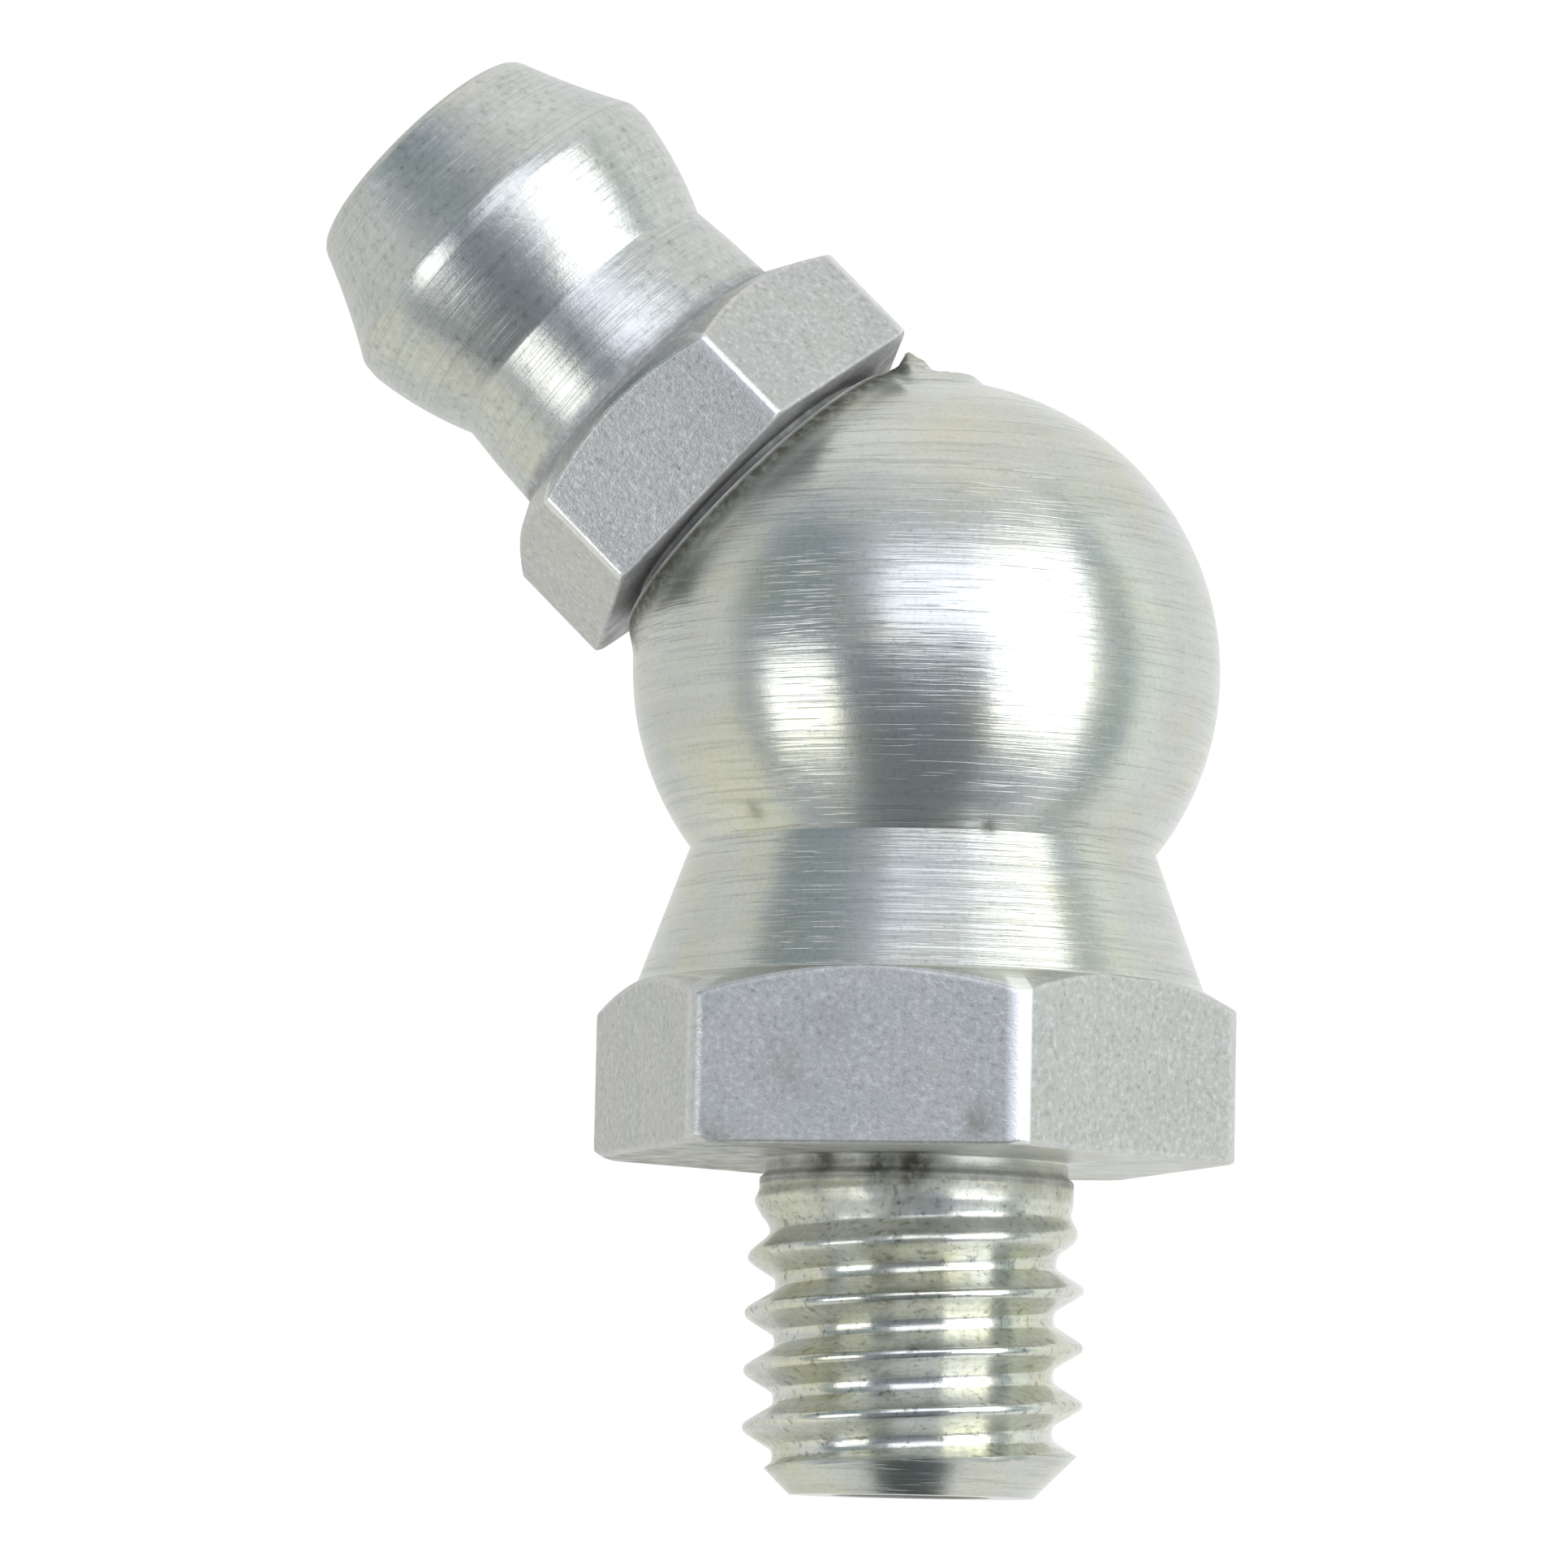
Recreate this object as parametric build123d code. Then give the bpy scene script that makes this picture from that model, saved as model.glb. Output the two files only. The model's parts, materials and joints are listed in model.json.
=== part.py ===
from build123d import *
from math import cos, pi, radians, sin, sqrt, tan
import os

# An angled grease nipple: a turned elbow body with a screw stud, a pressed-in
# nipple head at 45 degrees, and the check ball and its spring inside the head.
# Millimetres. The origin is on the stud axis, in the seat face under the large
# hexagon. Z runs along the stud towards the ball, and the head leans to -X.

# Stud, below the seat face. Its blank has the outside diameter of the M6 thread from
# the full depth down, and narrows to the neck over the thread's run-out
stud_diameter = 6.0
stud_length = 5.85
stud_tip_diameter = 4.28
full_depth = 2.1
neck_diameter = 5.5
neck_depth = 0.75
relief_diameter = 5.32
relief_width = 0.24

# Large hexagon
body_hex_flats = 10.0
body_hex_height = 3.05
body_hex_corner_radius = 0.35
body_hex_turn = -7.0
body_hex_run_out = 0.1
seat_diameter = 11.1
hex_chamfer_angle = 30.0

# Waist cone and ball of the elbow body
cone_foot_diameter = 9.96
waist_cone_angle = 20.0
elbow_ball_diameter = 10.36
elbow_ball_height = 8.65
nub_diameter = 1.75
nub_rise = 0.1

# The head leans this far from the stud axis; its stations are distances
# from the centre of the elbow's ball along that leaning axis
head_angle = 45.0
boss_foot = 3.45
boss_shoulder = 4.17
boss_top = 4.30
boss_shoulder_diameter = 6.56
boss_top_diameter = 6.4
head_hex_foot = 4.49
head_hex_top = 7.03
head_hex_flats = 7.0
head_hex_corner_radius = 0.15
head_hex_turn = -13.2
head_hex_foot_diameter = 7.84
head_hex_top_diameter = 6.0
collar_diameter = 5.4

# Outline of the nipple itself
neck_foot_diameter = 5.86
neck_middle_station = 8.0
neck_middle_diameter = 5.76
crease_station = 8.85
crease_diameter = 5.60
back_middle_station = 9.9
back_middle_diameter = 6.38
bulge_start_station = 10.7
bulge_station = 11.0
bulge_diameter = 6.68
bulge_end_diameter = 6.64
tip_station = 13.05
tip_cone_diameter = 4.81
tip_cone_hollow = 0.06
tip_rounding = 0.3

# Grease passages
stud_bore_diameter = 2.4
stud_bore_overrun = 0.3
cross_bore_diameter = 2.0
cross_bore_overrun = 0.5
drill_point_angle = 59.0
mouth_chamfer = 0.2

# Press fit of the head's spigot in the elbow's ball
spigot_diameter = 4.0
spigot_end = 1.80
spigot_lead = 0.25
spigot_lead_length = 0.5
press_bore_end = 1.70

# Check valve inside the head
check_ball_diameter = 2.5
valve_bore_diameter = 2.7
inlet_diameter = 1.6
seat_gap = 0.03
ball_top_inset = 0.2
rolled_lip_thickness = 0.4
rolled_lip_diameter = 1.6
spring_wire_diameter = 0.25
spring_mean_diameter = 2.1
spring_turns = 9.0
spring_closed_turns = 1.0
spring_closed_pitch = 0.28
spring_blend_turns = 0.5
spring_points_per_turn = 12
spring_gap = 0.02

# How far one form reaches into the next where they are fused, and how far
# a trimming form reaches past what it trims
fused_reach = 0.5
trim_reach = 0.3

# Sizes that follow from the ones above
stud_radius = stud_diameter / 2
cone_foot_radius = cone_foot_diameter / 2
ball_radius = elbow_ball_diameter / 2
lean = radians(head_angle)
hex_slope = tan(radians(hex_chamfer_angle))
head_plane = Plane(
    origin=(0, 0, elbow_ball_height),
    x_dir=(0, -1, 0),
    z_dir=(-sin(lean), 0, cos(lean)),
)


def turned(points):
    """A solid turned round Z from a closed outline of (radius, height) points."""
    outline = Polyline([(r, 0, z) for r, z in points], close=True)
    return revolve(make_face(outline), Axis.Z, 360)


def hexagon_bar(flats, corner_radius, foot, top):
    """An upright hexagonal bar whose first flat faces +X, with softened edges."""
    bar = extrude(RegularPolygon(flats / 2, 6, major_radius=False, rotation=30), top - foot)
    bar = fillet(bar.edges().filter_by(Axis.Z), corner_radius)
    return Pos(0, 0, foot) * bar


def chamfer_envelope(foot, foot_radius, top, top_radius, flats):
    """The turned envelope that trims the corners of a hexagon at both ends."""
    reach = flats / sqrt(3) + trim_reach
    return turned([
        (0, foot),
        (foot_radius, foot),
        (reach, foot + (reach - foot_radius) * hex_slope),
        (reach, top - (reach - top_radius) * hex_slope),
        (top_radius, top),
        (0, top),
    ])


def elbow_body():
    """Stud, large hexagon, waist cone and drilled ball, turned from one bar."""
    tip_radius = stud_tip_diameter / 2
    neck_radius = neck_diameter / 2
    relief_radius = relief_diameter / 2
    tip_chamfer = stud_radius - tip_radius
    overlap = body_hex_height / 2
    stud = turned([
        (0, -stud_length),
        (tip_radius, -stud_length),
        (stud_radius, -stud_length + tip_chamfer),
        (stud_radius, -full_depth),
        (neck_radius, -neck_depth),
        (neck_radius, -relief_width - neck_radius + relief_radius),
        (relief_radius, -relief_width),
        (relief_radius, overlap),
        (0, overlap),
    ])

    bar = hexagon_bar(body_hex_flats, body_hex_corner_radius, 0, body_hex_height)
    bar = Pos(-body_hex_run_out, 0, 0) * Rot(0, 0, body_hex_turn - 90) * bar
    nut = bar & chamfer_envelope(
        0, seat_diameter / 2, body_hex_height, cone_foot_radius, body_hex_flats
    )

    # The cone ends well inside the ball, above the crease between them
    cone_top = elbow_ball_height - ball_radius / 2
    cone_rise = cone_top - body_hex_height
    cone_slope = tan(radians(waist_cone_angle))
    cone = turned([
        (0, overlap),
        (neck_radius, overlap),
        (neck_radius, body_hex_height),
        (cone_foot_radius, body_hex_height),
        (cone_foot_radius - cone_rise * cone_slope, cone_top),
        (0, cone_top),
    ])

    ball = Pos(0, 0, elbow_ball_height) * Sphere(ball_radius)
    nub_top = elbow_ball_height + ball_radius + nub_rise
    nub = turned([
        (0, elbow_ball_height),
        (nub_diameter / 2, elbow_ball_height),
        (nub_diameter / 2, nub_top - nub_rise),
        (nub_diameter / 2 - nub_rise, nub_top),
        (0, nub_top),
    ])

    foot_radius = sqrt(ball_radius ** 2 - boss_foot ** 2)
    boss = turned([
        (0, 0),
        (foot_radius, 0),
        (foot_radius, boss_foot),
        (boss_shoulder_diameter / 2, boss_shoulder),
        (boss_top_diameter / 2, boss_top),
        (0, boss_top),
    ])
    spotface = Pos(0, 0, boss_top) * Cylinder(
        ball_radius, ball_radius, align=(Align.CENTER, Align.CENTER, Align.MIN)
    )

    body = stud + nut + cone + ball + nub + head_plane.location * boss
    body = body - head_plane.location * spotface
    for passage in elbow_passages():
        body = body - passage
    return body


def elbow_passages():
    """The upright bore, the leaning bore and the press bore of the elbow body."""
    point_slope = tan(radians(drill_point_angle))
    stud_bore_radius = stud_bore_diameter / 2
    stud_bore_top = elbow_ball_height + stud_bore_overrun
    upright = turned([
        (0, -stud_length),
        (stud_bore_radius + mouth_chamfer, -stud_length),
        (stud_bore_radius, -stud_length + mouth_chamfer),
        (stud_bore_radius, stud_bore_top),
        (0, stud_bore_top + stud_bore_radius / point_slope),
    ])
    cross_radius = cross_bore_diameter / 2
    press_radius = spigot_diameter / 2
    leaning = turned([
        (0, -cross_bore_overrun - cross_radius / point_slope),
        (cross_radius, -cross_bore_overrun),
        (cross_radius, press_bore_end),
        (press_radius, press_bore_end),
        (press_radius, boss_top),
        (0, boss_top),
    ])
    return [upright, head_plane.location * leaning]


def nipple_head():
    """Spigot, small hexagon, neck and coupling bulge, turned from one bar."""
    spigot_radius = spigot_diameter / 2
    bar = hexagon_bar(head_hex_flats, head_hex_corner_radius, head_hex_foot, head_hex_top)
    bar = Rot(0, 0, head_hex_turn) * bar
    nut = bar & chamfer_envelope(
        head_hex_foot,
        head_hex_foot_diameter / 2,
        head_hex_top,
        head_hex_top_diameter / 2,
        head_hex_flats,
    )

    spigot = turned([
        (0, spigot_end),
        (spigot_radius - spigot_lead, spigot_end),
        (spigot_radius, spigot_end + spigot_lead_length),
        (spigot_radius, boss_top),
        (collar_diameter / 2, boss_top),
        (collar_diameter / 2, head_hex_foot + fused_reach),
        (0, head_hex_foot + fused_reach),
    ])

    inside = (0, 0, head_hex_top - fused_reach)
    neck_inside = (neck_foot_diameter / 2, 0, head_hex_top - fused_reach)
    neck_foot = (neck_foot_diameter / 2, 0, head_hex_top)
    neck_middle = (neck_middle_diameter / 2, 0, neck_middle_station)
    crease = (crease_diameter / 2, 0, crease_station)
    back_middle = (back_middle_diameter / 2, 0, back_middle_station)
    bulge_start = (bulge_diameter / 2, 0, bulge_start_station)
    bulge_end = (bulge_end_diameter / 2, 0, bulge_station)
    tip_edge = (tip_cone_diameter / 2, 0, tip_station)
    cone_middle = (
        (bulge_end_diameter + tip_cone_diameter) / 4 - tip_cone_hollow,
        0,
        (bulge_station + tip_station) / 2,
    )
    tip_centre = (0, 0, tip_station)
    outline = [
        Polyline(tip_edge, tip_centre, inside, neck_inside, neck_foot, neck_middle, crease),
        ThreePointArc(crease, back_middle, bulge_start),
        Line(bulge_start, bulge_end),
        ThreePointArc(bulge_end, cone_middle, tip_edge),
    ]
    nipple = revolve(make_face(outline), Axis.Z, 360)
    rim = nipple.edges().filter_by(GeomType.CIRCLE).group_by(Axis.Z)[-1]
    nipple = fillet(rim, tip_rounding)

    head = spigot + nut + nipple - valve_chamber()
    return head_plane.location * head


def ball_centre_station():
    """Where the check ball's centre lies when the valve is shut."""
    return tip_station - ball_top_inset - check_ball_diameter / 2


def valve_chamber():
    """Inlet, 90 degree valve seat, spring bore and the mouth of the rolled lip."""
    contact = check_ball_diameter / 2 / sqrt(2)
    inlet_radius = inlet_diameter / 2
    bore_radius = valve_bore_diameter / 2
    lip_radius = rolled_lip_diameter / 2
    shut_contact = ball_centre_station() + contact + seat_gap * sqrt(2)
    seat_top = shut_contact + contact - inlet_radius
    seat_foot = seat_top - bore_radius + inlet_radius
    return turned([
        (0, spigot_end),
        (lip_radius, spigot_end),
        (lip_radius, spigot_end + rolled_lip_thickness),
        (bore_radius, spigot_end + rolled_lip_thickness),
        (bore_radius, seat_foot),
        (inlet_radius, seat_top),
        (inlet_radius, tip_station - mouth_chamfer),
        (inlet_radius + mouth_chamfer, tip_station),
        (0, tip_station),
    ])


def check_ball():
    """The hardened ball that shuts the inlet."""
    return head_plane.location * Pos(0, 0, ball_centre_station()) * Sphere(check_ball_diameter / 2)


def check_spring():
    """A coil spring with one closed turn at each end."""
    wire_radius = spring_wire_diameter / 2
    coil_radius = spring_mean_diameter / 2
    reach = check_ball_diameter / 2 + wire_radius + spring_gap
    top = ball_centre_station() - sqrt(reach ** 2 - coil_radius ** 2)
    foot = spigot_end + rolled_lip_thickness + wire_radius + spring_gap
    open_turns = spring_turns - 2 * spring_closed_turns
    open_pitch = (top - foot - 2 * spring_closed_turns * spring_closed_pitch) / open_turns
    added_pitch = open_pitch - spring_closed_pitch
    count = int(spring_turns * spring_points_per_turn)
    points = []
    for i in range(count + 1):
        turn = spring_turns * i / count
        opened = eased(turn - spring_closed_turns, spring_blend_turns)
        closed_again = eased(turn - spring_turns + spring_closed_turns, spring_blend_turns)
        rise = foot + spring_closed_pitch * turn + added_pitch * (opened - closed_again)
        angle = 2 * pi * turn
        points.append((coil_radius * cos(angle), coil_radius * sin(angle), rise))
    path = Spline(*points)
    section = Plane(origin=path @ 0, z_dir=path % 0) * Circle(wire_radius)
    return head_plane.location * sweep(section, path=path, is_frenet=True)


def eased(turn, blend):
    """A ramp that starts at zero and bends smoothly over the blend length."""
    if turn <= -blend:
        return 0.0
    if turn >= blend:
        return turn
    return (turn + blend) ** 2 / (4 * blend)


nodes = {
    "elbow_body": elbow_body(),
    "nipple_head": nipple_head(),
    "check_ball": check_ball(),
    "check_spring": check_spring(),
}

os.makedirs("parts", exist_ok=True)
for name, shape in nodes.items():
    export_step(shape, f"parts/{name}.step")
    box = shape.bounding_box()
    print(name, len(shape.solids()), "solid", round(shape.volume, 3), "mm3", box.min, box.max)
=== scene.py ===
import json
import math

import bmesh
import bpy
import numpy as np
from mathutils import Matrix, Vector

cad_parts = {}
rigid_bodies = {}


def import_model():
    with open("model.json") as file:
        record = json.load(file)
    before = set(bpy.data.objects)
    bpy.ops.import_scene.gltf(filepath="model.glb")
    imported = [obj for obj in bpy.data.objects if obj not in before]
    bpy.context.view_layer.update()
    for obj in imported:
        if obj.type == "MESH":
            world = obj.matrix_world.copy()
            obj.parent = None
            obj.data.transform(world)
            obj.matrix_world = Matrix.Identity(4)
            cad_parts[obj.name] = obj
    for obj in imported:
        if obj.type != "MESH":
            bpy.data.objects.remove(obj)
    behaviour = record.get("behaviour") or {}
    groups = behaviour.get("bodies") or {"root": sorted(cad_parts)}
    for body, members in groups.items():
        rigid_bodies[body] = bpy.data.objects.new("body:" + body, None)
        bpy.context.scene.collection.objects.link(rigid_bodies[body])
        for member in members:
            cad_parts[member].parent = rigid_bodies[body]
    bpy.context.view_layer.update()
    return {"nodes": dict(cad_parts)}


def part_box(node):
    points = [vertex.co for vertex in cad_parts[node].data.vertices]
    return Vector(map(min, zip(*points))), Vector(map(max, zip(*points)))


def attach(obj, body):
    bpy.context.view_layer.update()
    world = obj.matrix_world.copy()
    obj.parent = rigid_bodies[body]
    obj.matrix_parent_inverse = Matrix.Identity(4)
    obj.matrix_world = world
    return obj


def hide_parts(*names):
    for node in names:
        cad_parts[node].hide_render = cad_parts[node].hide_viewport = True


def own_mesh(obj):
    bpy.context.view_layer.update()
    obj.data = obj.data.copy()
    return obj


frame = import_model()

# The looks of an angled grease nipple, in millimetres: the stud runs down along -Z, and
# the head leans from the ball's centre. Every shape is a grid of points. Rows run along
# an outline, from the top down, and columns run round an axis.

print("frame loaded:", sorted(frame["nodes"]))
metresPerMm = 0.001

meshing = {
    "easeShare": 0.45,  # the most of a leg that one rounded corner takes
    "easePoints": 5,
    "weldWithin": 2e-7,  # metres
    "sharpAngle": 38,
}


def smoothStep(value, start, end):
    # 0 before start, 1 after end, and a smooth S between them
    share = np.clip((value - start) / (end - start), 0, 1)
    return share * share * (3 - 2 * share)


def softMin(a, b, blend):
    # the smaller of two curves, rounded off where they cross
    return (a + b - np.sqrt((a - b) ** 2 + blend ** 2)) / 2


def softMax(a, b, blend):
    # the larger of two curves, rounded off where they cross
    return (a + b + np.sqrt((a - b) ** 2 + blend ** 2)) / 2


def ripple(points, scale, seed):
    # a gentle random swell over space: six sine waves in seeded directions
    chance = np.random.default_rng(seed)
    waves = chance.normal(size=(6, 3)) * scale
    starts = chance.uniform(0, 2 * math.pi, 6)
    return np.sin(points @ waves.T + starts).mean(axis=-1)


def settled(points, centre, depth, scale, seed):
    # draws a surface in towards a centre by up to depth mm, in gentle swells
    inward = np.array(centre) - points
    share = (1 + ripple(points, scale, seed)) / 2
    return points + depth * share[..., None] * inward / np.abs(inward).max()


def ray(angle):
    return np.array([math.cos(angle), math.sin(angle)])


def angleTo(normal, spot):
    # signed angle from a flat's normal to a point, seen from the axis
    return math.atan2(normal[0] * spot[1] - normal[1] * spot[0], normal @ spot)


def hexColumns(hexagon):
    # Angles of the columns round a hexagon with softened corners, and how far its side
    # lies from the axis at each. On a flat the reach is distance / cos(angle from the
    # flat's normal), and on a corner it is where the ray meets the corner's circle.
    inner = hexagon["flats"] / 2 - hexagon["corner"]
    offset = np.array([hexagon["offset"], 0])
    halfSide = math.pi / 6
    angles, reach, onCorner = [], [], []
    for side in range(6):
        facing = math.radians(hexagon["turn"] + 60 * side)
        normal = ray(facing)
        ends = ray(facing - halfSide), ray(facing + halfSide)
        spots = [end * inner / math.cos(halfSide) + offset for end in ends]
        rounding = hexagon["corner"] * normal
        first, last = [facing + angleTo(normal, spot + rounding) for spot in spots]
        across = np.linspace(first, last, hexagon["perFlat"], endpoint=False)
        distance = hexagon["flats"] / 2 + normal[0] * hexagon["offset"]
        corner = spots[1]
        nextNormal = ray(facing + 2 * halfSide)
        end = facing + angleTo(normal, corner + hexagon["corner"] * nextNormal)
        bend = np.linspace(last, end, hexagon["perCorner"], endpoint=False)
        along = np.cos(bend) * corner[0] + np.sin(bend) * corner[1]
        past = along ** 2 - corner @ corner + hexagon["corner"] ** 2
        angles += [across, bend]
        reach += [distance / np.cos(across - facing), along + np.sqrt(past)]
        onCorner += [np.zeros(len(across)), np.ones(len(bend))]
    # the first column comes once more at the end, a full turn on
    parts = [np.concatenate(part) for part in (angles, reach, onCorner)]
    return [np.append(part, part[0] + more) for part, more in zip(parts, (2 * math.pi, 0, 0))]


def easedOutline(corners, columns):
    # An outline of straight legs as rows of (radius, height), each row holding one value
    # per column. A corner is (radius, height, ease, rows on the leg that follows), and a
    # corner with ease is replaced by a short curve that starts that far from it.
    spots = [np.stack([np.broadcast_to(x, columns) for x in corner[:2]]) for corner in corners]
    bends = []
    for i, spot in enumerate(spots):
        if corners[i][2] == 0 or i in (0, len(spots) - 1):
            bends.append(spot[None])
            continue
        before, after = spots[i - 1] - spot, spots[i + 1] - spot
        shorter = np.minimum(np.hypot(*before), np.hypot(*after))
        cut = np.minimum(corners[i][2], meshing["easeShare"] * shorter)
        start = spot + before / np.maximum(np.hypot(*before), 1e-9) * cut
        end = spot + after / np.maximum(np.hypot(*after), 1e-9) * cut
        t = np.linspace(0, 1, meshing["easePoints"])[:, None, None]
        bends.append((1 - t) ** 2 * start + 2 * t * (1 - t) * spot + t ** 2 * end)
    rows, worn = [], []
    for i, bend in enumerate(bends):
        rows.extend(bend)
        worn.extend([float(len(bend) > 1)] * len(bend))
        if i + 1 < len(bends):
            steps = corners[i][3]
            shares = (1 - np.cos(np.pi * np.arange(1, steps) / steps)) / 2
            rows.extend(bend[-1] * (1 - share) + bends[i + 1][0] * share for share in shares)
            worn.extend([0.0] * len(shares))
    rows = np.array(rows)
    return rows[:, 0], rows[:, 1], np.array(worn)


def addObject(name, data, axes=None, place=None):
    # an object in the scene; axes and place (metres) turn and set a lamp or the camera
    added = bpy.data.objects.new(name, data)
    bpy.context.scene.collection.objects.link(added)
    if axes is not None:
        placed = np.eye(4)
        placed[:3, :3] = np.stack(axes, axis=1)
        placed[:3, 3] = place
        added.matrix_world = Matrix(placed.tolist())
    return added


def fill(target, name, values, kind=np.float32):
    target.foreach_set(name, np.asarray(values, kind).ravel())


def gridMesh(name, points, finish=0, slots=1, **marks):
    # One closed surface from a grid of points, its seams and poles welded. Marks are
    # values on the grid that the materials read, and finish picks each face's material.
    rows, columns = points.shape[:2]
    index = np.arange(rows * columns).reshape(rows, columns)
    quads = np.stack([index[:-1, :-1], index[1:, :-1], index[1:, 1:], index[:-1, 1:]], -1)
    quads = quads.reshape(-1, 4)
    mesh = bpy.data.meshes.new(name)
    mesh.vertices.add(rows * columns)
    mesh.loops.add(quads.size)
    mesh.polygons.add(len(quads))
    for _ in range(slots):
        mesh.materials.append(None)
    fill(mesh.vertices, "co", points * metresPerMm)
    fill(mesh.loops, "vertex_index", quads, np.int32)
    fill(mesh.polygons, "loop_start", np.arange(0, quads.size, 4), np.int32)
    fill(mesh.polygons, "loop_total", np.full(len(quads), 4), np.int32)
    fill(mesh.polygons, "use_smooth", np.ones(len(quads)), bool)
    faces = np.broadcast_to(finish, (rows - 1, columns - 1))
    fill(mesh.polygons, "material_index", faces, np.int32)
    along = np.linalg.norm(np.diff(points, axis=0), axis=-1).mean(axis=1).cumsum()
    across, down = np.linspace(0, 1, columns), np.append(0, along / along[-1])
    unrolled = np.stack(np.meshgrid(across, down), -1).reshape(-1, 2)
    fill(mesh.uv_layers.new(name="unrolled").data, "uv", unrolled[quads.ravel()])
    for mark, values in marks.items():
        attribute = mesh.attributes.new(mark, "FLOAT", "POINT")
        fill(attribute.data, "value", np.broadcast_to(values, (rows, columns)))
    mesh.update(calc_edges=True)
    welded = bmesh.new()
    welded.from_mesh(mesh)
    bmesh.ops.remove_doubles(welded, verts=welded.verts, dist=meshing["weldWithin"])
    if welded.calc_volume(signed=True) < 0:
        bmesh.ops.reverse_faces(welded, faces=welded.faces)
    welded.to_mesh(mesh)
    welded.free()
    mesh.set_sharp_from_angle(angle=math.radians(meshing["sharpAngle"]))
    return addObject(name, mesh)


def aimed(azimuth, elevation):
    # Level, upright and outward directions of what faces the part from there, in degrees.
    # Azimuth 0 is the front, and it rises towards +X.
    a, e = math.radians(azimuth), math.radians(elevation)
    outward = np.array([math.sin(a) * math.cos(e), -math.cos(a) * math.cos(e), math.sin(e)])
    level = np.cross([0, 0, 1], outward)
    level /= np.linalg.norm(level)
    return level, np.cross(outward, level), outward


# Camera

cameraView = {
    "azimuth": 4.940,  # degrees round from the front, towards +X
    "elevation": -6.122,  # degrees; it looks up a little
    "roll": 1.208,
    "distance": 140.33,  # mm
    "aside": (2.334, -6.639),  # mm, how far its axis passes from the origin
    "focalPixels": 9854.9,
    "imagePixels": 1932,
    "sensorWidth": 36.0,
    "clip": (0.01, 10),  # metres
}


def makeCamera(view):
    level, upright, back = aimed(view["azimuth"], view["elevation"])
    roll = math.radians(view["roll"])
    right = math.cos(roll) * level + math.sin(roll) * upright
    up = math.cos(roll) * upright - math.sin(roll) * level
    across, above = view["aside"]
    place = view["distance"] * back - across * right - above * up
    lens = bpy.data.cameras.new("photoCamera")
    lens.sensor_width = view["sensorWidth"]
    lens.lens = view["focalPixels"] / view["imagePixels"] * view["sensorWidth"]
    lens.clip_start, lens.clip_end = view["clip"]
    camera = addObject("photoCamera", lens, (right, up, back), place * metresPerMm)
    bpy.context.scene.camera = camera


makeCamera(cameraView)
print("camera placed")


# Elbow body: ball with its boss, waist cone, large hexagon, neck and threaded stud

leaning = {
    "angle": 45.0,  # degrees from upright, towards -X
    "centreHeight": 8.65,  # the elbow's ball, where the two axes meet
}

elbow = {
    "ballRadius": 5.18,
    "nubTop": 5.28,  # from the ball's centre
    "nubRadius": 0.775,
    "nubBlend": 0.03,
    "bossOutline": [(3.864, 3.45), (3.28, 4.17), (3.2, 4.30)],  # (radius, station)
    "bossBlend": 0.04,
    "burrPlace": (41.5, -3.0),  # degrees from the leaning axis, and round it
    "burrSpread": (3.2, 7.5),
    "burrRise": 0.34,
    "burrRagged": 0.5,
    # the ball's rows, in degrees from the leaning axis: on the face, and (from, to, rows)
    "faceRows": (0, 10, 20, 28, 33, 36, 36.6),
    "bossRows": ((36.75, 38.2, 4), (38.9, 58, 28)),
    "swingRows": 60,
    "waistHeight": 5.48,
    "coneFoot": 4.98,
    "coneSlope": 20.0,
    "hexTop": 3.05,
    "chamferSlope": 30.0,
    "seatRadius": 5.55,
    "edgeBreak": 0.045,
    "reliefRadius": 2.66,
    "reliefDepth": 0.24,
    "neckRadius": 2.757,
    "neckStart": 0.33,
    "neckEnd": 0.45,
    "tipRows": (0.97, 0.8, 0.6, 0.3, 0),  # shares of the tip's radius
    "settled": {"centre": (0, 0, 4.0), "depth": 0.01, "scale": 0.9, "seed": 3},
    # how strong the painted highlights and the dirt and painted shade are, from 0 to 1; angles
    # are degrees from the leaning axis
    "rimHighlight": 0.15,
    "cornerHighlight": 0.25,
    "brightCornerHighlight": 1.0,  # the corner to the right of the front flat
    "bossRimHighlight": (36.9, 0.45),  # the bright ring round the boss: its angle and its spread
    # painted shade: on the ball by the boss, under the large hexagon, in the thread's valleys and
    # on the neck's top
    "bossShade": (36, 45),  # full up to the first angle and gone at the second
    "underShade": (0.45, 0.55),  # everywhere, and more to the left
    "flankShade": (0.3, 0.35),
    "neckShade": 0.9,
    "neckShadeHeights": (-1.0, -0.45),
    # painted shadow on the boss's face and on the ball round it, under the small hexagon
    "faceShadow": 0.9,
    "bossShadow": 0.85,
    "bossShadowAngles": (38.5, 43),
    # dark patches: dirt on the ball near the waist and on the large hexagon, and painted shade on
    # the neck's top under the hexagon; a place (x, y, z), how far it spreads and how strong it is
    "stains": [
        ((1.37, -3.86, 5.56), 0.12, 1.3),
        ((1.39, -5.22, 0.36), 0.26, 0.8),
        ((-3.1, -4.67, 0.10), 0.16, 0.7),
        ((-1.88, -4.82, 1.20), 0.40, 0.35),
        ((-1.2, -4.9, 2.1), 0.35, 0.25),
        ((-2.6, -3.4, 5.9), 0.16, 0.5),
        ((-1.5, -2.3, -0.1), 0.3, 0.9),
        ((-0.45, -2.65, -0.2), 0.38, 0.9),
        ((0.15, -2.7, -0.22), 0.42, 1.1),
    ],
}

elbowHex = {
    "flats": 10.0,
    "corner": 0.35,
    "turn": -97.0,  # the front flat's normal, degrees round from +X
    "offset": -0.1,
    "perFlat": 45,
    "perCorner": 9,
}

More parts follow.
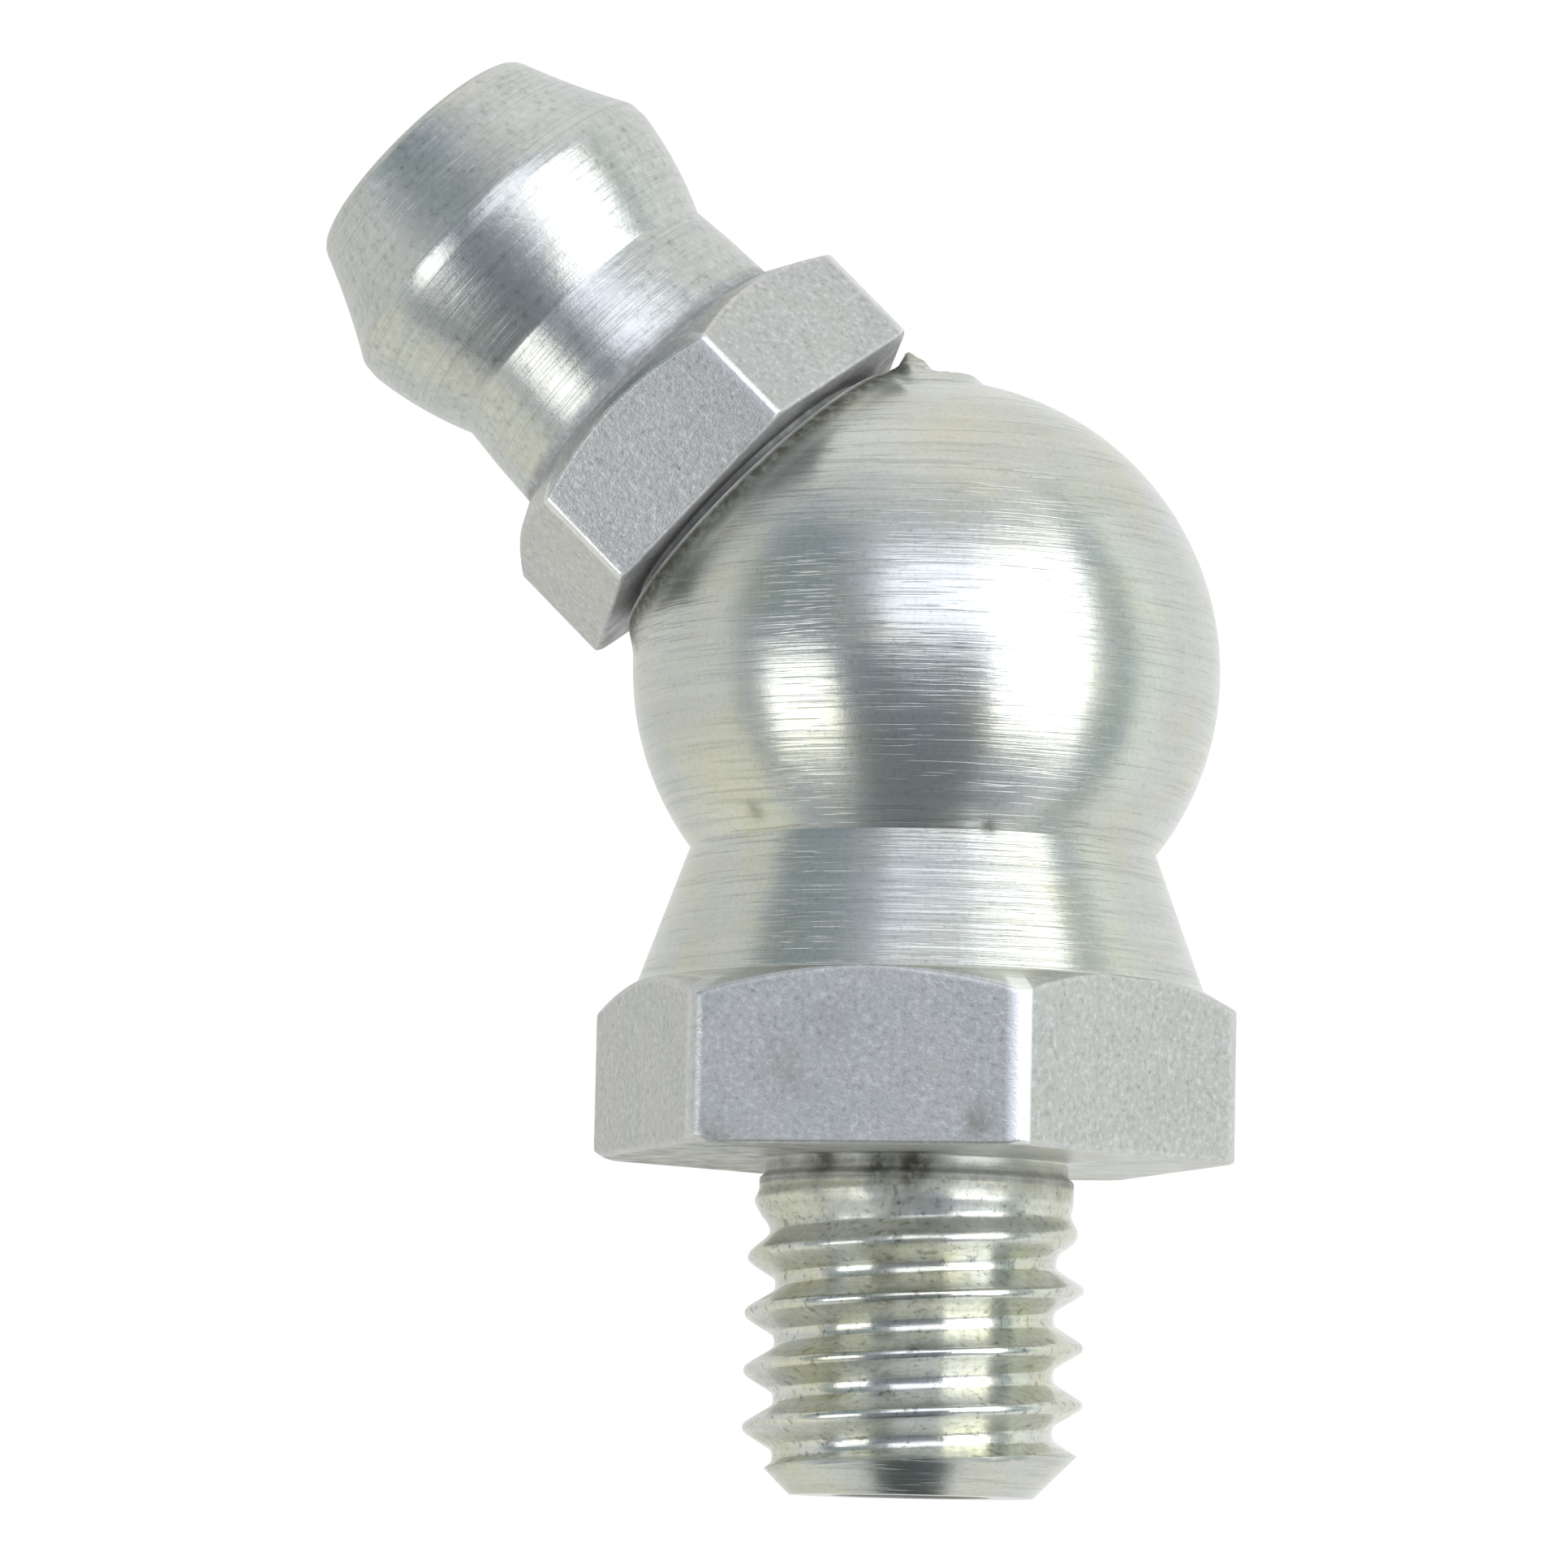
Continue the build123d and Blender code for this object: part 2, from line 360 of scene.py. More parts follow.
thread = {
    "pitch": 1.0,
    "crestRadius": 2.972,
    "rootRadius": 2.44,
    "rootBow": 0.9,  # how fast the root curves up, per mm squared
    "sharpCrest": 3.083,  # where the flanks would meet
    "flankRise": 1.732,
    "crestRound": 0.05,
    "rootRound": 0.06,
    "crestAtX": -2.2137,  # height of a crest over the +X axis
    "tipRadius": 2.134,
    "phases": (
        0, .035, .07, .11, .19, .28, .36, .4, .44, .48, .52, .56, .6, .64, .72, .81, .89, .93, .965,
    ),
    "turns": (6, -9),  # rows are laid from one to the other, and cut to the stud's length
    "chamferBlend": 0.02,
    "crestFade": [(-2.2, 1.0), (-1.75, 0.86), (-1.2, 0.36), (-0.7, 0.34), (-0.5, 0.0)],
    "rootFade": [(-1.9, 1.0), (-1.2, 0.62), (-0.75, 0.0)],
    "wobble": 0.012,
    "wobbleScale": 2.2,
}

passages = {
    "studBore": 1.2,
    "studBoreTop": 8.95,
    "mouthChamfer": 0.2,
    "crossBore": 1.0,
    "crossBoreFoot": -0.5,
    "pressBore": 2.0,
    "pressBoreFoot": 1.70,
    "drillPoint": 59.0,
    "spare": 0.6,  # how far a drill starts outside the body
    "spokes": 49,
    # how much darker the bores' walls are drawn
    "soil": 0.6,
}


def leaningFrame():
    # the ball's centre, the leaning axis, and two directions square to it
    tilt = math.radians(leaning["angle"])
    centre = np.array([0, 0, leaning["centreHeight"]])
    axis = np.array([-math.sin(tilt), 0, math.cos(tilt)])
    front = np.array([0, -1.0, 0])
    return centre, axis, front, np.cross(axis, front)


def leaningPoints(radius, station, angles):
    # rows of (radius, station) carried round the leaning axis
    centre, axis, front, upper = leaningFrame()
    around = np.cos(angles)[:, None] * front + np.sin(angles)[:, None] * upper
    return centre + station[..., None] * axis + radius[..., None] * around


def uprightPoints(radius, height, angles):
    # rows of (radius, height) carried round the stud's axis
    height = np.broadcast_to(height, radius.shape)
    return np.stack([radius * np.cos(angles), radius * np.sin(angles), height], -1)


def ballReach(directions):
    # How far the surface lies from the ball's centre along each direction: the ball, or
    # the boss or the nub where it stands higher, all cut off by the boss's flat face.
    # A straight side of an outline lies at distance / cos(angle from its normal).
    upper = leaningFrame()[3]
    along = directions @ leaningFrame()[1]
    across = np.sqrt(np.maximum(1 - along ** 2, 0))
    near, far = 0.05, 99.0  # the least divisor, and a reach that never counts
    outline = np.array(elbow["bossOutline"])
    boss = np.full(along.shape, far)
    for start, end in zip(outline[:-1], outline[1:]):
        normal = np.array([end[1] - start[1], start[0] - end[0]])
        normal /= np.linalg.norm(normal)
        facing = np.maximum(normal[0] * across + normal[1] * along, near)
        boss = np.minimum(boss, (normal @ start) / facing)
    boss = np.where(along > 0.5, boss, 0)
    up = np.maximum(directions[..., 2], near)
    side = np.sqrt(np.maximum(1 - directions[..., 2] ** 2, 0))
    nub = np.minimum(elbow["nubTop"] / up, (elbow["nubTop"] + elbow["nubRadius"]) / (up + side))
    nub = np.where(up > 0.5, nub, 0)
    reach = softMax(softMax(elbow["ballRadius"], boss, elbow["bossBlend"]), nub, elbow["nubBlend"])
    fromAxis = np.degrees(np.arccos(np.clip(along, -1, 1)))
    aroundAxis = np.degrees(np.arctan2(directions[..., 1], directions @ upper))
    burr = zip((fromAxis, aroundAxis), elbow["burrPlace"], elbow["burrSpread"])
    bump = np.exp(-sum(((angle - place) / spread) ** 2 for angle, place, spread in burr))
    ragged = 1 + elbow["burrRagged"] * ripple(directions, 60, 5)
    top = np.where(along > near, outline[-1][1] / np.maximum(along, near), far)
    return np.minimum(reach, top) + elbow["burrRise"] * bump * ragged


def ballRows(angles):
    # Nested circles over the ball. The first are square to the leaning axis, out past the
    # boss and the nub, and then they widen while their axis swings upright, so that the
    # last one is the level circle at the waist.
    rise = elbow["waistHeight"] - leaning["centreHeight"]
    waist = math.degrees(math.acos(rise / elbow["ballRadius"]))
    nearBoss = [np.linspace(*rows) for rows in elbow["bossRows"]]
    square = np.concatenate([elbow["faceRows"], *nearBoss])
    swing = np.linspace(0, 1, elbow["swingRows"])[1:]
    wide = np.radians(np.append(square, square[-1] + (waist - square[-1]) * swing))
    tilt = -math.radians(leaning["angle"]) * (1 - np.append(0 * square, swing))
    axis = np.stack([np.sin(tilt), 0 * tilt, np.cos(tilt)], -1)
    level = np.stack([np.cos(tilt), 0 * tilt, -np.sin(tilt)], -1)
    back = np.array([0, 1.0, 0])
    around = np.cos(angles)[:, None] * level[:, None] + np.sin(angles)[:, None] * back
    directions = np.cos(wide)[:, None, None] * axis[:, None] + np.sin(wide)[:, None, None] * around
    points = leaningFrame()[0] + directions * ballReach(directions)[..., None]
    return points, directions


def threadRows(angles, length):
    # The threaded stud as rows that climb with the thread, one pitch in a turn, so that
    # each row keeps one place on the thread's section. Rows past either end are laid on
    # the end's circle. The radius is the section's height there: straight flanks cut by
    # the crest's cylinder and by the root's shallow trough. It is faded out towards the
    # neck and cut off by the 45 degree chamfer of the tip.
    top, foot = -elbow["neckEnd"], -length
    crest = thread["crestAtX"] + angles / (2 * math.pi) * thread["pitch"]
    phases = np.array(thread["phases"])
    places = np.concatenate([turn - phases for turn in range(*thread["turns"], -1)])
    places = places * thread["pitch"]
    first = np.searchsorted(-places, -(top - crest[0])) - 1
    last = np.searchsorted(-places, -(foot - crest[-1])) + 1
    places = places[max(first, 0):last]
    height = np.clip(crest + places[:, None], foot, top)
    halfPitch = thread["pitch"] / 2
    fromCrest = np.abs((height - crest + halfPitch) % thread["pitch"] - halfPitch)
    spots = uprightPoints(np.full(height.shape, thread["crestRadius"]), height, angles)
    worn = thread["wobble"] * ripple(spots, thread["wobbleScale"], 11)
    flank = thread["sharpCrest"] - thread["flankRise"] * fromCrest
    section = softMin(flank, thread["crestRadius"] + worn, thread["crestRound"])
    trough = thread["rootRadius"] + thread["rootBow"] * (halfPitch - fromCrest) ** 2
    section = softMax(section, trough, thread["rootRound"])
    neck = elbow["neckRadius"]
    crestShare = np.interp(height, *zip(*thread["crestFade"]))
    rootShare = np.interp(height, *zip(*thread["rootFade"]))
    section = neck + np.where(section > neck, crestShare, rootShare) * (section - neck)
    radius = np.minimum(section, thread["tipRadius"] + height - foot)
    full = thread["crestRadius"] - thread["rootRadius"]
    depth = np.clip((thread["crestRadius"] - section) / full, 0, 1)
    chamfered = smoothStep(section - radius, 0.0, thread["chamferBlend"])
    return uprightPoints(radius, height, angles), depth * (1 - chamfered), chamfered


def elbowBody():
    length = -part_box("elbow_body")[0].z / metresPerMm
    angles, side, onCorner = hexColumns(elbowHex)
    ball, directions = ballRows(angles)
    slope = math.tan(math.radians(elbow["chamferSlope"]))
    coneHeight = elbow["waistHeight"] - elbow["hexTop"]
    waistRadius = elbow["coneFoot"] - coneHeight * math.tan(math.radians(elbow["coneSlope"]))
    topCut = np.maximum(side - elbow["coneFoot"], 0) * slope
    footCut = np.maximum((side - elbow["seatRadius"]) * slope, elbow["edgeBreak"])
    radius, height, worn = easedOutline([
        (waistRadius, elbow["waistHeight"], 0, 12),
        (elbow["coneFoot"], elbow["hexTop"], 0.03, 4),
        (side, elbow["hexTop"] - topCut, 0.06, 12),
        (side, footCut, 0.03, 1),
        (side - footCut / slope, 0, 0.03, 6),
        (elbow["reliefRadius"], 0, 0.05, 2),
        (elbow["reliefRadius"], -elbow["reliefDepth"], 0.03, 1),
        (elbow["neckRadius"], -elbow["neckStart"], 0.03, 2),
        (elbow["neckRadius"], -elbow["neckEnd"], 0, 1),
    ], len(angles))
    middle = uprightPoints(radius, height, angles)[1:]
    stud, depth, chamfered = [rows[1:] for rows in threadRows(angles, length)]
    tipRadii = np.array(elbow["tipRows"])[:, None] * thread["tipRadius"] * np.ones(len(angles))
    points = np.concatenate([ball, middle, stud, uprightPoints(tipRadii, -length, angles)])
    onBall = slice(0, len(ball))
    onMiddle = slice(len(ball), len(ball) + len(middle))
    onStud = slice(onMiddle.stop, onMiddle.stop + len(stud))
    heights, worn = height[1:].mean(axis=1), worn[1:]
    onSide = (heights > 0.02) & (heights < elbow["hexTop"] - 0.05) & (radius[1:].min(axis=1) > 4.5)

    # materials: 0 turned, 1 the flats, 2 the rolled thread
    finish = np.zeros((len(points) - 1, len(angles) - 1), int)
    finish[onMiddle][onSide] = 1
    finish[onStud.start - 1:onStud.stop - 1] = np.where(chamfered[:, 1:] > 0.5, 0, 2)

    # painted highlights: on the eased rims, on the hexagon's corners, and in a ring round the
    # boss's rim
    edge = np.zeros(points.shape[:2])
    edge[onMiddle] = elbow["rimHighlight"] * worn[:, None]
    brightCorner = math.radians(elbowHex["turn"] + 30)
    fromBright = np.abs((angles - brightCorner + math.pi) % (2 * math.pi) - math.pi)
    paintedCornerHighlight = np.where(fromBright < 0.5, elbow["brightCornerHighlight"], elbow["cornerHighlight"])
    edge[onMiddle][onSide] = np.maximum(onCorner * paintedCornerHighlight, edge[onMiddle][onSide])
    fromAxis = np.degrees(np.arccos(np.clip(directions @ leaningFrame()[1], -1, 1)))
    ring, spread = elbow["bossRimHighlight"]
    edge[onBall] = np.exp(-((fromAxis - ring) / spread) ** 2)

    # painted shade: on the ball by the boss, under the large hexagon and on the neck below it, and
    # in the thread's valleys, more to the left
    leftward = smoothStep(-np.cos(angles), -0.6, 0.5)
    underShade, flankShade = [
        base + more * leftward for base, more in (elbow["underShade"], elbow["flankShade"])
    ]
    soil = np.zeros(edge.shape)
    soil[onBall] = 1 - smoothStep(fromAxis, *elbow["bossShade"])
    soil[onMiddle][(heights < 0.01) & (heights > -0.26)] = underShade
    soil[onMiddle][heights < -0.2] = 1.0
    neckShade = elbow["neckShade"] * smoothStep(stud[..., 2], *elbow["neckShadeHeights"])
    soil[onStud] = np.maximum(4 * depth * (1 - depth) * flankShade, neckShade)

    # painted shadow on the boss's face and the ball round it, then dirt patches and painted shade
    # on the neck's top
    stain = np.zeros(edge.shape)
    faded = elbow["bossShadow"] * (1 - smoothStep(fromAxis, *elbow["bossShadowAngles"]))
    stained = np.where(fromAxis < elbow["faceRows"][-1], elbow["faceShadow"], faded)
    stain[onBall] = stained * (1 - edge[onBall])
    swell = 1 + 0.6 * ripple(points, 3.0, 17)
    for place, spread, strength in elbow["stains"]:
        away = np.linalg.norm(points - np.array(place), axis=-1) / spread * swell
        stain = np.maximum(stain, np.minimum(strength * np.exp(-away ** 2), 1))
    points = settled(points, **elbow["settled"])
    body = gridMesh("elbow_body_plated", points, finish, 4, edge=edge, soil=soil, stain=stain)
    cutPassages(body, length)
    return body


def cutPassages(body, length):
    # The upright bore and the leaning bore, cut out of the body as a drill leaves them.
    # Each drill is a closed outline of (radius, height) turned round its axis.
    turn = np.linspace(0, 2 * math.pi, passages["spokes"])
    point = math.tan(math.radians(passages["drillPoint"]))
    mouth = passages["studBore"] + passages["mouthChamfer"]
    spare = passages["spare"]
    upright = [
        (0, passages["studBoreTop"] + passages["studBore"] / point),
        (passages["studBore"], passages["studBoreTop"]),
        (passages["studBore"], -length + passages["mouthChamfer"]),
        (mouth + spare, -length - spare),
        (0, -length - spare),
    ]
    boss = elbow["bossOutline"][-1][1]
    leaningBore = [
        (0, boss + spare),
        (passages["pressBore"], boss + spare),
        (passages["pressBore"], passages["pressBoreFoot"]),
        (passages["crossBore"], passages["pressBoreFoot"]),
        (passages["crossBore"], passages["crossBoreFoot"]),
        (0, passages["crossBoreFoot"] - passages["crossBore"] / point),
    ]
    for outline, carry in ((upright, uprightPoints), (leaningBore, leaningPoints)):
        radius, height = [np.array(side)[:, None] * np.ones(len(turn)) for side in zip(*outline)]
        surface = carry(radius, height, turn)
        drill = gridMesh("drill", surface, 3, 4, edge=0, soil=passages["soil"], stain=0)
        cut = body.modifiers.new("drill", "BOOLEAN")
        cut.operation, cut.solver, cut.object = "DIFFERENCE", "EXACT", drill
        graph = bpy.context.evaluated_depsgraph_get()
        drilled = bpy.data.meshes.new_from_object(body.evaluated_get(graph))
        body.modifiers.clear()
        body.data = drilled
        bpy.data.objects.remove(drill)
    body.data.name = body.name


# Nipple head: tip cone, bulge, neck, small hexagon, spigot, and the chamber inside

head = {
    "tipStation": 13.05,
    "tipRadius": 2.393,
    "tipRound": 0.26,
    "coneStart": (2.56, 12.62),  # (radius, station), as the next ones are
    "coneMiddle": (2.822, 12.0),
    "bulgeEnd": (3.325, 11.0),
    "bulgeStart": (3.343, 10.7),
    "backMiddle": (3.16, 9.8),
    "crease": (2.806, 8.8),
    "neckMiddle": (2.88, 8.0),
    "neckFoot": (2.93, 7.03),
    "hexTop": 7.03,
    "hexTopRadius": 3.0,
    "hexFoot": 4.49,
    "hexFootRadius": 3.92,
    "chamferSlope": 30.0,
    "collarRadius": 2.7,
    "collarFoot": 4.30,
    "spigotRadius": 2.0,
    "spigotLead": (0.25, 0.5),
    "spigotEnd": 1.80,
    "lipRadius": 0.8,
    "lipThickness": 0.4,
    "chamberRadius": 1.35,
    "inletRadius": 0.8,
    "mouthChamfer": 0.2,
    # painted highlights on the eased rims and corners; painted shade below the hexagon's foot and
    # round its top
    "rimHighlight": 0.1,
    "cornerHighlight": 0.55,
    "footShade": 0.8,
    "shoulderShade": 0.9,
    "shoulder": (-0.45, 0.12),  # the band of painted shade, from the top of the small hexagon
    "settled": {"depth": 0.008, "scale": 1.0, "seed": 8},
    "settleStation": 7.5,
}

headHex = {
    "flats": 7.0,
    "corner": 0.15,
    "turn": -13.2,
    "offset": 0.0,
    "perFlat": 41,
    "perCorner": 7,
}

valve = {
    "ballRadius": 1.25,
    "topInset": 0.2,
    "seatGap": 0.03,
    "rows": 49,
    "columns": 73,
}


def ballStation():
    # where the check ball's centre lies on the leaning axis when the valve is shut
    return head["tipStation"] - valve["topInset"] - valve["ballRadius"]


def arcThrough(start, middle, end, count):
    # Points along the circle through three points a, b and c of an outline, taken as
    # complex numbers: with w = (c - a) / (b - a), its centre lies at
    # a + (b - a) (w - |w| squared) / (2i times the imaginary part of w).
    a, b, c = [complex(*spot) for spot in (start, middle, end)]
    w = (c - a) / (b - a)
    centre = a + (b - a) * (w - abs(w) ** 2) / (2j * w.imag)
    turn = np.angle((c - centre) / (a - centre))
    swept = centre + (a - centre) * np.exp(1j * turn * np.linspace(0, 1, count))
    return [(spot.real, spot.imag, 0, 1) for spot in swept]


def nippleHead():
    angles, side, onCorner = hexColumns(headHex)
    slope = math.tan(math.radians(head["chamferSlope"]))
    topCut = np.maximum(side - head["hexTopRadius"], 0) * slope
    footCut = np.maximum((side - head["hexFootRadius"]) * slope, 0.03)
    contact = valve["ballRadius"] / math.sqrt(2)
    seatTop = ballStation() + 2 * contact + valve["seatGap"] * math.sqrt(2) - head["inletRadius"]
    seatFoot = seatTop - head["chamberRadius"] + head["inletRadius"]
    mouth = head["inletRadius"] + head["mouthChamfer"]
    lead, leadLength = head["spigotLead"]
    tip, top, foot, end = [head[part] for part in ("tipStation", "hexTop", "hexFoot", "spigotEnd")]
    lip = end + head["lipThickness"]
    outline = [(mouth, tip, 0, 5), (head["tipRadius"], tip, head["tipRound"], 3)]
    outline += arcThrough(head["coneStart"], head["coneMiddle"], head["bulgeEnd"], 9)[:-1]
    outline += [(*head["bulgeEnd"], 0.06, 3), (*head["bulgeStart"], 0.05, 1)]
    outline += arcThrough(head["bulgeStart"], head["backMiddle"], head["crease"], 14)[1:-1]
    outline += [
        (*head["crease"], 0.03, 5),
        (*head["neckMiddle"], 0, 6),
        (*head["neckFoot"], 0.04, 1),
        (head["hexTopRadius"], top, 0.02, 5),
        (side, top - topCut, 0.05, 12),
        (side, foot + footCut, 0.03, 1),
        (side - footCut / slope, foot, 0.03, 6),
        (head["collarRadius"], foot, 0.02, 2),
        (head["collarRadius"], head["collarFoot"], 0, 3),
        (head["spigotRadius"], head["collarFoot"], 0, 4),
        (head["spigotRadius"], end + leadLength, 0, 2),
        (head["spigotRadius"] - lead, end, 0, 2),
        (head["lipRadius"], end, 0.03, 2),
        (head["lipRadius"], lip, 0.03, 2),
        (head["chamberRadius"], lip, 0, 6),
        (head["chamberRadius"], seatFoot, 0, 3),
        (head["inletRadius"], seatTop, 0, 2),
        (head["inletRadius"], tip - head["mouthChamfer"], 0, 2),
        (mouth, tip, 0, 1),
    ]
    radius, station, worn = easedOutline(outline, len(angles))
    points = leaningPoints(radius, station, angles)
    middle, outer = station.mean(axis=1), radius.mean(axis=1)
    onSide = (middle > foot + 0.02) & (middle < top - 0.05) & (radius.min(axis=1) > 3.3)
    inside = (outer < 1.4) | (middle < foot - 0.1)

    # materials: 0 turned, 1 the flats, 2 the inside
    finish = np.where(onSide[:-1], 1, 0)
    finish[inside[:-1] & inside[1:]] = 2
    # painted highlights on the eased rims and corners; painted shade below the hexagon's foot and
    # in a band round its top, off the flats
    edge = np.repeat(head["rimHighlight"] * worn[:, None], len(angles), axis=1)
    edge[onSide] = np.maximum(head["cornerHighlight"] * onCorner, edge[onSide])
    soil = np.zeros(edge.shape)
    soil[middle < foot + 0.05] = head["footShade"]
    below, above = head["shoulder"]
    shoulder = (middle > top + below) & (middle < top + above)
    soil[shoulder & ~onSide] = head["shoulderShade"]
    centre, axis = leaningFrame()[:2]
    points = settled(points, centre + head["settleStation"] * axis, **head["settled"])
    return gridMesh("nipple_head_plated", points, finish[:, None], 3, edge=edge, soil=soil)


# Check ball and its spring, inside the head

spring = {
    "wireRadius": 0.125,
    "coilRadius": 1.05,
    "turns": 9.0,
    "closedTurns": 1.0,
    "closedPitch": 0.28,
    "blendTurns": 0.5,
    "gap": 0.02,
    "perTurn": 40,
    "roundWire": 12,
}


def checkBall():
    # a sphere: radius and station run over half a circle, from the inlet side down
    sweep = np.linspace(0, math.pi, valve["rows"])[:, None] * np.ones(valve["columns"])
    turn = np.linspace(0, 2 * math.pi, valve["columns"])
    radius = valve["ballRadius"] * np.sin(sweep)
    station = ballStation() + valve["ballRadius"] * np.cos(sweep)
    return gridMesh("check_ball_polished", leaningPoints(radius, station, turn))


def easedRise(turn, blend):
    # a ramp that starts at zero and bends smoothly into its slope over the blend
    bent = (turn + blend) ** 2 / (4 * blend)
    return np.where(turn <= -blend, 0, np.where(turn >= blend, turn, bent))


def checkSpring():
    # A wire carried along a coil. The coil climbs slowly over its closed end turns and
    # faster between them, and the wire's circle stands square to the coil's direction.
    turns, closed, closedPitch = spring["turns"], spring["closedTurns"], spring["closedPitch"]
    clear = spring["wireRadius"] + spring["gap"]
    top = ballStation() - math.sqrt((valve["ballRadius"] + clear) ** 2 - spring["coilRadius"] ** 2)
    foot = head["spigotEnd"] + head["lipThickness"] + clear
    openPitch = (top - foot - 2 * closed * closedPitch) / (turns - 2 * closed)
    turn = np.linspace(0, turns, int(turns * spring["perTurn"]) + 1)
    added = easedRise(turn - closed, spring["blendTurns"])
    added = added - easedRise(turn - turns + closed, spring["blendTurns"])
    rise = foot + closedPitch * turn + (openPitch - closedPitch) * added
    centre, axis, front, upper = leaningFrame()
    angle = (2 * math.pi * turn)[:, None]
    outward = np.cos(angle) * front + np.sin(angle) * upper
    path = centre + rise[:, None] * axis + spring["coilRadius"] * outward
    ahead = np.gradient(path, axis=0)
    ahead /= np.linalg.norm(ahead, axis=1)[:, None]
    across = np.cross(ahead, outward)
    wire = np.linspace(0, 2 * math.pi, spring["roundWire"] + 1)[None, :, None]
    ring = np.cos(wire) * outward[:, None] + np.sin(wire) * across[:, None]
    rows = path[:, None] + spring["wireRadius"] * ring
    first, last = [np.repeat(path[[end], None], rows.shape[1], axis=1) for end in (0, -1)]
    piece = gridMesh("check_spring_wire", np.concatenate([first, rows, last]))
    return piece, centre + foot * axis, axis, top - foot


body = elbowBody()
print("elbow body:", len(body.data.polygons), "faces")
nipple = nippleHead()
print("nipple head:", len(nipple.data.polygons), "faces")
ball = checkBall()
coil, coilFoot, coilAxis, coilLength = checkSpring()
print("check ball and spring:", len(ball.data.polygons) + len(coil.data.polygons), "faces")


# Shader node groups that several finishes share


def put(tree, kind, inputs=None, **settings):
    # adds a node; inputs are values or sockets to link, by name or number
    node = tree.nodes.new("ShaderNode" + kind)
    for name, value in settings.items():
        setattr(node, name, value)
    for name, value in (inputs or {}).items():
        if isinstance(value, bpy.types.NodeSocket):
            tree.links.new(value, node.inputs[name])
        else:
            node.inputs[name].default_value = value
    return node


def newGroup(name, inputs, outputs):
    tree = bpy.data.node_groups.new(name, "ShaderNodeTree")
    sockets = [("INPUT", *item) for item in inputs.items()]
    sockets += [("OUTPUT", label, 0.0) for label in outputs]
    for side, label, value in sockets:
        kind = "NodeSocketFloat" if isinstance(value, float) else "NodeSocketVector"
        socket = tree.interface.new_socket(name=label, in_out=side, socket_type=kind)
        socket.default_value = value
    given, out = tree.nodes.new("NodeGroupInput"), tree.nodes.new("NodeGroupOutput")
    return tree, given.outputs, out.inputs


def newTree(data):
    # an empty node tree for a material or the world
    data.use_nodes = True
    data.node_tree.nodes.clear()
    return data.node_tree


def maths(tree, operation, a, b=0.0, c=0.0):
    return put(tree, "Math", {0: a, 1: b, 2: c}, operation=operation).outputs[0]


def times(tree, a, b):
    return maths(tree, "MULTIPLY", a, b)


def ramp(tree, value, start, end, low=0.0, high=1.0):
    # maps a range of values smoothly to another
    node = put(tree, "MapRange", {
        "Value": value, "From Min": start, "From Max": end, "To Min": low, "To Max": high,
    }, interpolation_type="SMOOTHSTEP")
    return node.outputs["Result"]


def noise(tree, vector, scale, detail=2.0, roughness=0.5):
    return put(tree, "TexNoise", {
        "Vector": vector, "Scale": scale, "Detail": detail, "Roughness": roughness,
    }).outputs["Fac"]


def stretched(tree, vector, scale, location=(0, 0, 0), rotation=(0, 0, 0)):
    return put(tree, "Mapping", {
        "Vector": vector, "Scale": scale, "Location": location, "Rotation": rotation,
    }).outputs[0]


def inMillimetres(tree):
    spot = put(tree, "TexCoord").outputs["Object"]
    return stretched(tree, spot, (1000, 1000, 1000))


def mixColour(tree, share, a, b, blend="MIX"):
    return put(tree, "Mix", {0: share, 6: a, 7: b}, data_type="RGBA", blend_type=blend).outputs[2]


def turningMarksGroup():
    # rings that a tool leaves: noise drawn out round the axis and crowded along it
    tree, given, out = newGroup(
        "turningMarks", {"Position": (0, 0, 0), "Crowding": 1.0}, ["Height", "Bands", "Dashes"],
    )
    squeezed = put(tree, "CombineXYZ", {0: 1.0, 1: 1.0, 2: given["Crowding"]}).outputs[0]
    both = {0: given["Position"], 1: squeezed}
    place = put(tree, "VectorMath", both, operation="MULTIPLY").outputs[0]
    broad = noise(tree, stretched(tree, place, (0.10, 0.10, 2.1)), 1.0, 1.0)
    rings = noise(tree, stretched(tree, place, (0.14, 0.14, 7.5), (3, 1, 0)), 1.0, 3.0, 0.6)
    fine = noise(tree, stretched(tree, place, (0.42, 0.42, 20.0), (7, 2, 5)), 1.0, 2.0, 0.6)
    scratches = ramp(tree, fine, 0.55, 0.66)
    height = maths(tree, "MULTIPLY_ADD", broad, 0.25, maths(tree, "MULTIPLY_ADD", fine, 0.4, rings))
    height = maths(tree, "SUBTRACT", height, times(tree, scratches, 0.35))
    tree.links.new(height, out["Height"])
    tree.links.new(ramp(tree, rings, 0.36, 0.64), out["Bands"])
    tree.links.new(scratches, out["Dashes"])
    return tree


def platingGrainGroup():
    # the fine crystals of a plated surface, with a few that catch the light
    tree, given, out = newGroup(
        "platingGrain", {"Position": (0, 0, 0), "Grains": 14.0}, ["Height", "Glints", "Pits"],
    )
    place, grains = given["Position"], given["Grains"]
    crystals = noise(tree, place, grains, 3.0, 0.6)
    small = noise(tree, place, times(tree, grains, 2.3), 1.0)
    moved = stretched(tree, place, (1, 1, 1), (5, 8, 3))
    sparks = noise(tree, moved, times(tree, grains, 0.7), 3.0, 0.7)
    tree.links.new(maths(tree, "ADD", crystals, times(tree, small, 0.5)), out["Height"])
    tree.links.new(ramp(tree, sparks, 0.48, 0.72), out["Glints"])
    tree.links.new(ramp(tree, sparks, 0.46, 0.28), out["Pits"])
    return tree


